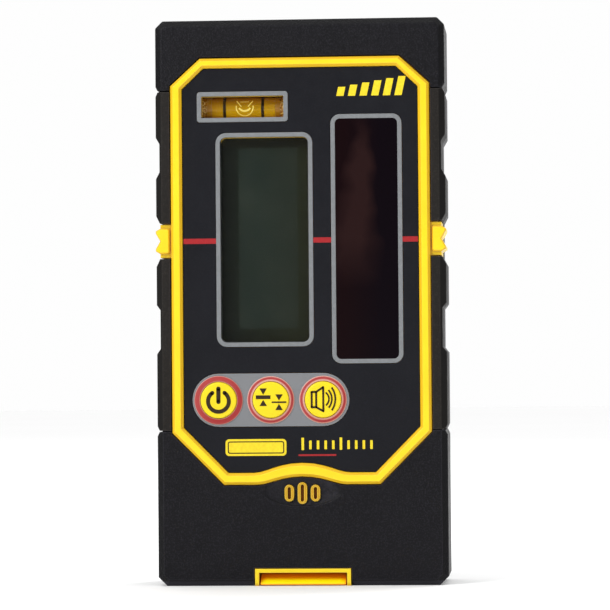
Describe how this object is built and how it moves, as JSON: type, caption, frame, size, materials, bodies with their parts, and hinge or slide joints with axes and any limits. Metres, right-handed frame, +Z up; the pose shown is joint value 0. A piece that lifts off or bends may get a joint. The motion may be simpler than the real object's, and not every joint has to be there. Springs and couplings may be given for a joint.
{
  "type": "laser line detector",
  "caption": "Hand-held laser line detector: yellow housing in black grips, tall display, sensor window, level vial and three round keys on the front.",
  "frame": {"origin": "middle of the base that the detector stands on", "axes": "+Z up along the detector's length, +Y from the front panel to the back, +X to the right as seen from the front"},
  "size_m": [0.08, 0.03, 0.156],
  "materials": {
    "yellow_housing": "satin",
    "cover_black": "fine texture",
    "grip_black": "matte, slightly rough",
    "rear_black": "fine texture",
    "panel_graphite": "satin",
    "display_lens": "clear, gloss",
    "sensor_lens": "dark red filter, gloss",
    "vial_lens": "clear, gloss",
    "keypad_grey": "satin",
    "key_yellow": "satin",
    "latch_yellow": "satin",
    "seal_rubber": "matte",
    "board_green": "satin",
    "display_liquid": "grey-green display",
    "white_plastic": "matte",
    "dark_plastic": "satin",
    "vial_amber": "amber liquid",
    "magnet_nickel": "polished",
    "insert_brass": "turned",
    "screw_steel": "zinc plated",
    "battery_jacket": "gloss",
    "lead_red": "satin",
    "lead_black": "satin",
    "label_silver": "satin"
  },
  "bodies": {
    "case": {"front_housing": "yellow_housing", "top_cover": "cover_black", "bottom_cover": "cover_black", "grip_upper_left": "grip_black", "grip_lower_left": "grip_black", "top_magnet_left": "magnet_nickel", "grip_upper_right": "grip_black", "grip_lower_right": "grip_black", "top_magnet_right": "magnet_nickel", "faceplate": "panel_graphite", "display_window": "display_lens", "sensor_window": "sensor_lens", "vial_window": "vial_lens", "keypad_bezel": "keypad_grey", "power_switch": "dark_plastic", "accuracy_switch": "dark_plastic", "volume_switch": "dark_plastic", "display_glass": "display_liquid", "display_holder": "white_plastic", "display_contact_strip": "seal_rubber", "sensor_board": "board_green", "sensor_header": "dark_plastic", "photodiode_array": "dark_plastic", "main_board": "board_green", "controller_chip": "dark_plastic", "vial_tube": "vial_amber", "vial_holder": "yellow_housing", "sounder": "dark_plastic", "board_screw_1": "screw_steel", "board_screw_2": "screw_steel", "board_screw_3": "screw_steel", "board_screw_4": "screw_steel", "rear_housing": "rear_black", "case_gasket": "seal_rubber", "clamp_insert": "insert_brass", "rear_label": "label_silver", "case_screw_1": "screw_steel", "case_screw_2": "screw_steel", "case_screw_3": "screw_steel", "case_screw_4": "screw_steel", "case_screw_5": "screw_steel", "case_screw_6": "screw_steel", "battery": "battery_jacket", "battery_snap": "dark_plastic", "battery_lead_red": "lead_red", "battery_lead_black": "lead_black"},
    "power_key": {"power_button": "key_yellow"},
    "accuracy_key": {"accuracy_button": "key_yellow"},
    "volume_key": {"volume_button": "key_yellow"},
    "battery_latch": {"battery_latch": "latch_yellow"},
    "battery_door": {"battery_door": "rear_black"}
  },
  "joints": [
    {"name": "power_press", "type": "slide", "parent": "case", "child": "power_key", "axis": [0, 1, 0], "range_m": [0, 0.0008], "stiffness_N_per_m": 800},
    {"name": "accuracy_press", "type": "slide", "parent": "case", "child": "accuracy_key", "axis": [0, 1, 0], "range_m": [0, 0.0008], "stiffness_N_per_m": 800},
    {"name": "volume_press", "type": "slide", "parent": "case", "child": "volume_key", "axis": [0, 1, 0], "range_m": [0, 0.0008], "stiffness_N_per_m": 800},
    {"name": "latch_slide", "type": "slide", "parent": "case", "child": "battery_latch", "axis": [0, 1, 0], "range_m": [0, 0.0012], "stiffness_N_per_m": 300},
    {"name": "battery_door_hinge", "type": "hinge", "parent": "case", "child": "battery_door", "pos_m": [0, 0.0129, 0.0364], "axis": [1, 0, 0], "range_deg": [0, 95]}
  ]
}
